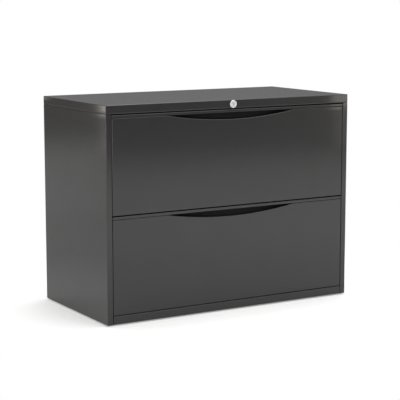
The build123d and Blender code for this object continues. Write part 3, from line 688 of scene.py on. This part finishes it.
for drawer in ("upper_drawer", "lower_drawer"):
    # Front panel: a folded pan whose top edge dips into the finger opening.
    low, high = box_mm(drawer + "_front_panel")
    arc_centre = high.z + GROOVE - OPENING_DEPTH + OPENING_RADIUS

    def front_outline(t):
        turn = max(FRONT_CORNER - t, 0.15)
        radius = OPENING_RADIUS + t
        top = high.z - t
        meet = math.sqrt(radius ** 2 - (arc_centre - top) ** 2)
        xs = [meet * (2 * k / COLUMNS - 1) for k in range(COLUMNS + 1)]
        tops = [(x, arc_centre - math.sqrt(radius ** 2 - x * x)) for x in xs]
        flat = (-420.0, -meet - 5.0)
        tops = [(x, top) for x in flat] + tops + [(-x, top) for x in reversed(flat)]
        points = [(x, low.z + t) for x, z in tops]
        left, right = low.x + t + turn, high.x - t - turn
        foot, head = low.z + t + turn, top - turn
        points += corner_arc(right, foot, turn, -90) + corner_arc(right, head, turn, 0)
        points += tops[::-1]
        points += corner_arc(left, head, turn, 90) + corner_arc(left, foot, turn, 180)
        return points

    def front_place(u, v, w):
        in_opening = abs(u) < OPENING_HALF + 3.0 and v > high.z - OPENING_DEPTH - FAR
        return u, min(w, low.y + 4.0) if in_opening else w, v

    def front_cap(count):
        across = COLUMNS + 5
        yield from ([k, k + 1, 2 * across + 8 - k, 2 * across + 9 - k] for k in range(across - 1))
        yield list(range(across - 1, across + 11))
        yield list(range(2 * across + 9, count)) + [0]

    bm = bmesh.new()
    lathe(bm, front_outline, rounded_line([
        (FRONT_RETURN, low.y), (0, low.y), (0, high.y), (SHEET, high.y), (SHEET, low.y + SHEET),
        (FRONT_RETURN, low.y + SHEET),
    ], (FOLD, 0.3, 0.3, INNER_FOLD)), front_place, cap=front_cap)
    piece(drawer + "_front", drawer + "_front_panel", bm, edge=0)

    # Pull rail: a shallow pan, open below, whose rim is rolled inwards.
    low, high = box_mm(drawer + "_pull_rail")
    half_y = (high.y - low.y) / 2
    bm = bmesh.new()
    rim_top = low.z + 4.5
    lathe(bm, rounded_box((0, low.y + half_y), (high.x, half_y), CORNER), rounded_line([
        (8.0, high.z), (0, high.z), (0, low.z), (2.5, low.z), (2.5, rim_top), (SHEET, rim_top),
        (SHEET, high.z - SHEET), (8.0, high.z - SHEET),
    ], (FOLD, 1.1, 1.1, 0.3, 0.3, INNER_FOLD)), along_z)
    piece(drawer + "_pull", drawer + "_pull_rail", bm, edge=0)

    # Pull cup: a moulded trough, open above, that curves up into its back wall.
    low, high = box_mm(drawer + "_pull_cup")
    sections = []
    for k in range(2 * COLUMNS + 1):
        x = CUP_HALF * math.sin(QUARTER * (k / COLUMNS - 1))
        rise = OPENING_DEPTH - OPENING_RADIUS + math.sqrt(OPENING_RADIUS ** 2 - x * x)
        depth = max(rise, CUP_RIM)
        turn = min(CUP_TURN, depth * 0.9)
        floor_z, back_y = high.z - depth, high.y - CUP_WALL
        below_z = floor_z - CUP_WALL
        inside = rounded_line([
            (low.y, floor_z - 0.15), (back_y, floor_z - 0.15), (back_y, high.z),
        ], (turn,), 8)
        outside = rounded_line([
            (low.y, below_z), (high.y, below_z), (high.y, high.z),
        ], (turn + CUP_WALL * 0.5,), 8)
        sections.append([(x, y, z) for y, z in inside + outside[::-1]])
    bm = bmesh.new()
    skin(bm, sections)
    piece(drawer + "_cup", drawer + "_pull_cup", bm, edge=0.3)

    # Liner: flat sheet with a raised middle field.
    low, high = box_mm(drawer + "_front_liner")
    middle_z, half_z = (low.z + high.z) / 2, (high.z - low.z) / 2
    bm = bmesh.new()
    lathe(bm, rounded_box((0, middle_z), (high.x, half_z), 4.0), rounded_line([
        (52.0, low.y + LINER_RISE), (34.0, low.y + LINER_RISE), (31.0, low.y), (0, low.y),
        (0, high.y), (30.4, high.y), (33.4, high.y + LINER_RISE), (52.0, high.y + LINER_RISE),
    ], (3.0, 2.0, EDGE, EDGE, 3.0, 2.0)), along_y)
    piece(drawer + "_liner", drawer + "_front_liner", bm, edge=0)

    # Tray: floor with stiffening beads, sides with one bead, and hemmed flanges along the top.
    low, high = box_mm(drawer + "_tray")
    half, flange, hem_z = high.x, high.x - FLANGE_WIDTH, high.z - FLANGE_HEM
    side_top, web_top, web_foot = high.z - PLAIN_EDGE, high.z - 20.0, low.z + PLAIN_EDGE
    floor_half = half - PLAIN_EDGE
    flange_points = [(-flange, hem_z), (-flange, high.z), (-half, high.z), (-half, side_top)]
    foot_points = [(-half, web_foot), (-half, low.z), (-floor_half, low.z)]
    left_flange = rounded_line(flange_points, (HEM_FOLD, FOLD))[1:-1]
    left_foot = rounded_line(foot_points, (FOLD,))[1:-1]
    right_foot = rounded_line(mirrored(foot_points), (FOLD,))[1:-1]
    right_flange = rounded_line(mirrored(flange_points), (FOLD, HEM_FOLD))[1:-1]
    run = unbeaded([(-flange, hem_z)] + left_flange)
    run += beaded((-half, web_top), (-half, web_foot), (26.0,), *SIDE_BEAD)
    run += unbeaded(left_foot)
    run += beaded((-floor_half, low.z), (floor_half, low.z), FLOOR_BEADS, *FLOOR_BEAD)
    run += unbeaded(right_foot)
    run += beaded((half, web_foot), (half, web_top), (194.0,), *SIDE_BEAD)
    run += unbeaded(right_flange + [(flange, hem_z)])
    stations, envelope = bead_stations(low.y, high.y, 18.0)
    bm = bmesh.new()
    sheet(bm, [p for p, b in run], DRAWER_SHEET, stations, along_y, [b for p, b in run], envelope)
    piece(drawer + "_body", drawer + "_tray", bm)

    # Back wall with two pressed beads.
    low, high = box_mm(drawer + "_back")
    foot = rounded_line([(low.y, low.z), (high.y, low.z), (high.y, low.z + 9.0)], (FOLD,))[:-1]
    flat = beaded((high.y, low.z + PLAIN_EDGE), (high.y, high.z - PLAIN_EDGE),
                  BACK_BEADS, *BACK_BEAD)
    top = rounded_line([(high.y, high.z - 9.0), (high.y, high.z), (low.y, high.z)], (FOLD,))[1:]
    run = unbeaded(foot) + flat + unbeaded(top)
    stations, envelope = bead_stations(low.x, high.x, 30.0)
    bm = bmesh.new()
    sheet(bm, [p for p, b in run], DRAWER_SHEET, stations, along_x, [b for p, b in run], envelope)
    piece(drawer + "_rear_wall", drawer + "_back", bm)

    # Hanging rails: strips folded double over their top edge.
    low, high = box_mm(drawer + "_hang_rails")
    bm = bmesh.new()
    for y in (low.y, high.y - RAIL_THICK):
        line = [(y, low.z), (y, high.z), (y + RAIL_THICK, high.z), (y + RAIL_THICK, low.z)]
        sheet(bm, rounded_line(line, (HEM_FOLD, HEM_FOLD)), -RAIL_SHEET, [low.x, high.x], along_x)
    piece(drawer + "_folder_rails", drawer + "_hang_rails", bm)

    # Rivets that hold the slides to the tray.
    low, high = box_mm(drawer + "_rivets")
    level = (low.z + high.z) / 2
    head_x = TRAY_WEB - DRAWER_SHEET - RIVET_HEIGHT
    bm = bmesh.new()
    for side in SIDES:
        rivets(bm, side * head_x, side * high.x, [(y, level) for y in RIVET_PLACES])
    piece(drawer + "_rivet_heads", drawer + "_rivets", bm, edge=0)

# ---------------------------------------------------------------- floor and light


def floor_material():
    """White floor with soft shadows near the object. To the eye it fades to plain white further
    out; to light and reflections it fades to a dim room instead."""
    floor = Nodes("floor_white")
    floor.set(Roughness=0.9)
    floor.shader.inputs["Specular IOR Level"].default_value = 0.1
    floor.tint(floor.spread(floor.noise(2.0), 0.0, 1.0), (0.80, 0.80, 0.80), (0.82, 0.82, 0.82))
    floor.shader.inputs["Emission Color"].default_value = (1.0, 1.0, 1.0, 1.0)
    floor.shader.inputs["Emission Strength"].default_value = FLOOR_GLOW

    def faded(centre, stops, strength, behind):
        """The floor mixed towards an even glow, by distance from a centre and by how far behind."""
        squash = floor.add("ShaderNodeMapping")
        squash.inputs["Scale"].default_value = (1.0, FLOOR_STRETCH, 1.0)
        squash.inputs["Location"].default_value = (-centre[0], -FLOOR_STRETCH * centre[1], 0.0)
        floor.join(floor.place, squash.inputs["Vector"])
        distance = floor.add("ShaderNodeVectorMath", operation="LENGTH")
        floor.join(squash.outputs["Vector"], distance.inputs[0])
        reach = floor.spread(distance.outputs["Value"], 0.0, 1.0, 0.0, FLOOR_REACH)
        ramp = floor.add("ShaderNodeValToRGB")
        ramp.color_ramp.interpolation = "EASE"
        for number, (place, amount) in enumerate(stops):
            elements = ramp.color_ramp.elements
            stop = elements[number] if number < 2 else elements.new(place / FLOOR_REACH)
            stop.position = place / FLOOR_REACH
            stop.color = (amount, amount, amount, 1.0)
        floor.join(reach, ramp.inputs["Fac"])
        glow = floor.add("ShaderNodeEmission")
        glow.inputs["Strength"].default_value = strength
        along = floor.add("ShaderNodeVectorMath", operation="DOT_PRODUCT")
        along.inputs[1].default_value = BEHIND_LEFT
        floor.join(floor.place, along.inputs[0])
        dimmed = floor.spread(along.outputs["Value"], 0.0, behind, 0.2, 1.2)
        amount = floor.add("ShaderNodeMix", data_type="FLOAT")
        floor.join(dimmed, amount.inputs[0])
        floor.join(ramp.outputs["Color"], amount.inputs[2])
        amount.inputs[3].default_value = 1.0
        mix = floor.add("ShaderNodeMixShader")
        floor.join(amount.outputs[0], mix.inputs["Fac"])
        floor.join(floor.shader.outputs["BSDF"], mix.inputs[1])
        floor.join(glow.outputs["Emission"], mix.inputs[2])
        return mix.outputs["Shader"]

    rays = floor.add("ShaderNodeLightPath")
    choose = floor.add("ShaderNodeMixShader")
    floor.join(rays.outputs["Is Camera Ray"], choose.inputs["Fac"])
    floor.join(faded(*FLOOR_IN_ROOM), choose.inputs[1])
    floor.join(faded(*FLOOR_SEEN), choose.inputs[2])
    floor.join(choose.outputs["Shader"], floor.tree.nodes["Material Output"].inputs["Surface"])
    return floor.material


# Each fade: the centre, (metres, share of even glow) stops, the glow, and how much is dimmed behind
FLOOR_IN_ROOM = (
    (-0.25, 0.45),
    ((0.6, 0.38), (1.6, 0.32), (3.0, 0.10), (4.6, 0.04), (7.9, 1.0)),
    0.06, 0.40)
FLOOR_SEEN = ((0.12, 0.0), ((0.56, 0.0), (1.06, 1.0)), 1.0, 0.0)
FLOOR_GLOW = 0.26
FLOOR_REACH = 9.0
FLOOR_STRETCH = 1.35
BEHIND_LEFT = (-0.45, 0.89, 0.0)

bpy.ops.mesh.primitive_circle_add(vertices=128, radius=FLOOR_REACH, fill_type="NGON")
floor = bpy.context.object
floor.name = "floor"
floor.data.materials.append(floor_material())


def studio_world():
    """White behind the object for the camera, and a dim graded room for light and reflections."""
    world = bpy.data.worlds.new("studio")
    world.use_nodes = True
    tree = world.node_tree
    output = tree.nodes["World Output"]
    shown = tree.nodes["Background"]
    shown.inputs["Color"].default_value = (1.0, 1.0, 1.0, 1.0)
    room = tree.nodes.new("ShaderNodeBackground")
    coords = tree.nodes.new("ShaderNodeTexCoord")
    split = tree.nodes.new("ShaderNodeSeparateXYZ")
    ramp = tree.nodes.new("ShaderNodeValToRGB")
    ramp.color_ramp.elements[0].position = 0.0
    ramp.color_ramp.elements[0].color = (ROOM_BELOW, ROOM_BELOW, ROOM_BELOW, 1.0)
    ramp.color_ramp.elements[1].position = 1.0
    ramp.color_ramp.elements[1].color = (ROOM_ABOVE, ROOM_ABOVE, ROOM_ABOVE, 1.0)
    for height, grey in ROOM_LIGHT:
        stop = ramp.color_ramp.elements.new((height + 1) / 2)
        stop.color = (grey, grey, grey, 1.0)
    half = tree.nodes.new("ShaderNodeMapRange")
    half.inputs["From Min"].default_value = -1.0
    tree.links.new(coords.outputs["Generated"], split.inputs["Vector"])
    tree.links.new(split.outputs["Z"], half.inputs["Value"])
    tree.links.new(half.outputs["Result"], ramp.inputs["Fac"])
    tree.links.new(ramp.outputs["Color"], room.inputs["Color"])
    rays = tree.nodes.new("ShaderNodeLightPath")
    choose = tree.nodes.new("ShaderNodeMixShader")
    tree.links.new(rays.outputs["Is Camera Ray"], choose.inputs["Fac"])
    tree.links.new(room.outputs["Background"], choose.inputs[1])
    tree.links.new(shown.outputs["Background"], choose.inputs[2])
    tree.links.new(choose.outputs["Shader"], output.inputs["Surface"])
    return world


# Grey of the room straight below, straight above, and at heights in between as a share of up
ROOM_BELOW = 0.12
ROOM_ABOVE = 0.70
ROOM_LIGHT = ((0.0, 0.09), (0.12, 0.255), (0.5, 0.50))
scene.world = studio_world()


WHITE = (1.0, 1.0, 1.0)
WARM = (1.0, 0.94, 0.86)


def softbox(name, location, aim, size, power, colour=WHITE):
    data = bpy.data.lights.new(name, "AREA")
    data.shape = "RECTANGLE"
    data.size, data.size_y = size
    data.energy = power
    data.color = colour
    light = bpy.data.objects.new(name, data)
    light.location = location
    light.rotation_euler = (Vector(aim) - Vector(location)).to_track_quat("-Z", "Y").to_euler()
    light.visible_camera = False
    scene.collection.objects.link(light)
    return light


def card(name, azimuth, distance, width, low, high, radiance):
    """Upright warm card that shows in the gloss. One edge is at the azimuth, in degrees from +Y
    towards +X. It runs from there to larger azimuths, or to smaller ones for a negative width."""
    angle = math.radians(azimuth)
    out = Vector((math.sin(angle), math.cos(angle), 0.0))
    along = Vector((out.y, -out.x, 0.0))
    level = (low + high) / 2
    middle = out * distance + along * width / 2 + Vector((0, 0, level))
    power = radiance * math.pi * abs(width) * (high - low)
    softbox(name, middle, (0.0, 0.0, level), (abs(width), high - low), power, WARM)


softbox("key", (0.45, 0.15, 4.2), (0.0, 0.0, 0.0), (3.4, 3.4), 140.0)
softbox("fill", (1.6, -3.0, 2.8), (0.0, 0.0, 0.2), (2.5, 2.5), 28.0)
card("right_card_high", 141.4, 4.8, -0.50, 0.29, 0.70, 3.6)
card("right_card_low", 141.4, 4.8, -1.60, 0.02, 0.29, 0.7)
card("left_card_high", -32.8, 4.56, -0.15, 0.25, 0.50, 4.4)
card("left_card_low", -32.8, 4.56, -0.14, 0.02, 0.25, 0.5)
card("left_rear_card", -28.2, 4.9, 0.06, 0.32, 0.55, 2.0)
card("left_front_card", -132.0, 4.5, 2.4, -0.2, 1.60, 6.0)
